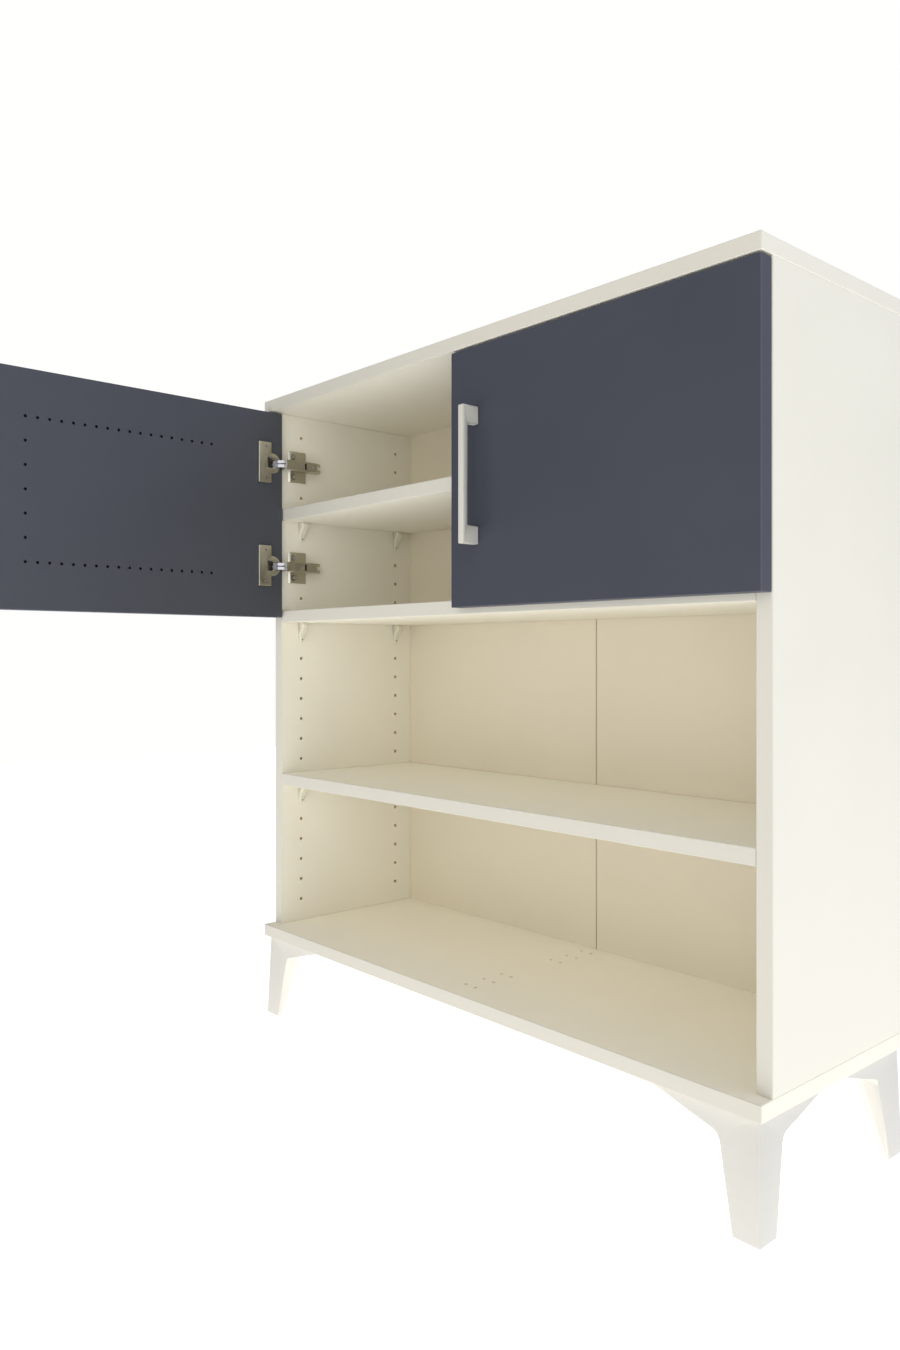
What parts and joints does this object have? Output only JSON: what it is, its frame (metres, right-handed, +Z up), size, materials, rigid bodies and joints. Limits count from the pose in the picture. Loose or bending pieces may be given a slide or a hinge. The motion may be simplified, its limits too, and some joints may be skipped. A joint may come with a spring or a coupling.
{
  "type": "cabinet with shelves",
  "caption": "Free-standing cabinet on splayed corner legs with adjustable shelves, open lower part and two hinged doors over the upper part.",
  "frame": {"origin": "on the floor, under the middle of the top and bottom boards", "axes": "+X to the right seen from the front, +Y to the back, +Z up"},
  "size_m": [0.8999, 0.7204, 0.96],
  "materials": {
    "cream_board": "matte melamine",
    "blue_board": "matte lacquer",
    "back_panel": "matte melamine",
    "paper_tape": "matte",
    "handle_paint": "satin powder coat",
    "leg_plastic": "satin moulded",
    "clear_cream_plastic": "satin moulded",
    "satin_nickel": "satin nickel",
    "bright_steel": "bright zinc",
    "beech": "plain"
  },
  "bodies": {
    "root": {"back_left_leaf": "back_panel", "back_right_leaf": "back_panel", "back_seam_tape": "paper_tape", "bottom_board": "cream_board", "corner_dowels": "beech", "corner_screws": "bright_steel", "left_arm_pins": "bright_steel", "left_arm_screws": "bright_steel", "left_lower_hinge_arm": "satin_nickel", "left_lower_hinge_plate": "satin_nickel", "left_plate_screws": "bright_steel", "left_side": "cream_board", "left_upper_hinge_arm": "satin_nickel", "left_upper_hinge_plate": "satin_nickel", "leg_back_left": "leg_plastic", "leg_back_right": "leg_plastic", "leg_front_left": "leg_plastic", "leg_front_right": "leg_plastic", "leg_screws": "bright_steel", "lower_shelf": "cream_board", "lower_shelf_supports": "clear_cream_plastic", "middle_shelf": "cream_board", "middle_shelf_supports": "clear_cream_plastic", "right_arm_pins": "bright_steel", "right_arm_screws": "bright_steel", "right_lower_hinge_arm": "satin_nickel", "right_lower_hinge_plate": "satin_nickel", "right_plate_screws": "bright_steel", "right_side": "cream_board", "right_upper_hinge_arm": "satin_nickel", "right_upper_hinge_plate": "satin_nickel", "screw_plugs": "clear_cream_plastic", "top_board": "cream_board", "upper_shelf": "cream_board", "upper_shelf_supports": "clear_cream_plastic"},
    "left_outer_links": {"left_lower_hinge_outer_link": "satin_nickel", "left_upper_hinge_outer_link": "satin_nickel"},
    "left_door": {"left_cup_pins": "bright_steel", "left_cup_screws": "bright_steel", "left_door": "blue_board", "left_handle": "handle_paint", "left_handle_screws": "bright_steel", "left_lower_hinge_cup": "satin_nickel", "left_upper_hinge_cup": "satin_nickel"},
    "left_inner_links": {"left_lower_hinge_inner_link": "satin_nickel", "left_upper_hinge_inner_link": "satin_nickel"},
    "right_outer_links": {"right_lower_hinge_outer_link": "satin_nickel", "right_upper_hinge_outer_link": "satin_nickel"},
    "right_door": {"right_cup_pins": "bright_steel", "right_cup_screws": "bright_steel", "right_door": "blue_board", "right_handle": "handle_paint", "right_handle_screws": "bright_steel", "right_lower_hinge_cup": "satin_nickel", "right_upper_hinge_cup": "satin_nickel"},
    "right_inner_links": {"right_lower_hinge_inner_link": "satin_nickel", "right_upper_hinge_inner_link": "satin_nickel"}
  },
  "joints": [
    {"name": "left_door_swing", "type": "hinge", "parent": "left_outer_links", "child": "left_door", "pos_m": [-0.41813, -0.14185, 0.78], "axis": [0, 0, 1], "range_deg": [-13.2, 118.8]},
    {"name": "left_outer_link_turn", "type": "hinge", "parent": "root", "child": "left_outer_links", "pos_m": [-0.4085, -0.1135, 0.78], "axis": [0, 0, 1], "range_deg": [-28.81, 3.21]},
    {"name": "left_inner_link_turn", "type": "hinge", "parent": "root", "child": "left_inner_links", "pos_m": [-0.4183, -0.129, 0.78], "axis": [0, 0, 1], "range_deg": [-28.81, 3.21]},
    {"name": "right_door_swing", "type": "hinge", "parent": "right_outer_links", "child": "right_door", "pos_m": [0.4306, -0.1337, 0.78], "axis": [0, 0, 1], "range_deg": [0, 132]},
    {"name": "right_outer_link_turn", "type": "hinge", "parent": "root", "child": "right_outer_links", "pos_m": [0.4085, -0.1135, 0.78], "axis": [0, 0, 1], "range_deg": [-32.01, 0.01]},
    {"name": "right_inner_link_turn", "type": "hinge", "parent": "root", "child": "right_inner_links", "pos_m": [0.4183, -0.129, 0.78], "axis": [0, 0, 1], "range_deg": [-32.01, 0.01]}
  ],
  "couplings": [
    {"joint": "left_outer_link_turn", "follows": "left_door_swing", "ratio": -0.24242},
    {"joint": "left_inner_link_turn", "follows": "left_door_swing", "ratio": -0.24242},
    {"joint": "right_outer_link_turn", "follows": "right_door_swing", "ratio": -0.24242},
    {"joint": "right_inner_link_turn", "follows": "right_door_swing", "ratio": -0.24242}
  ]
}
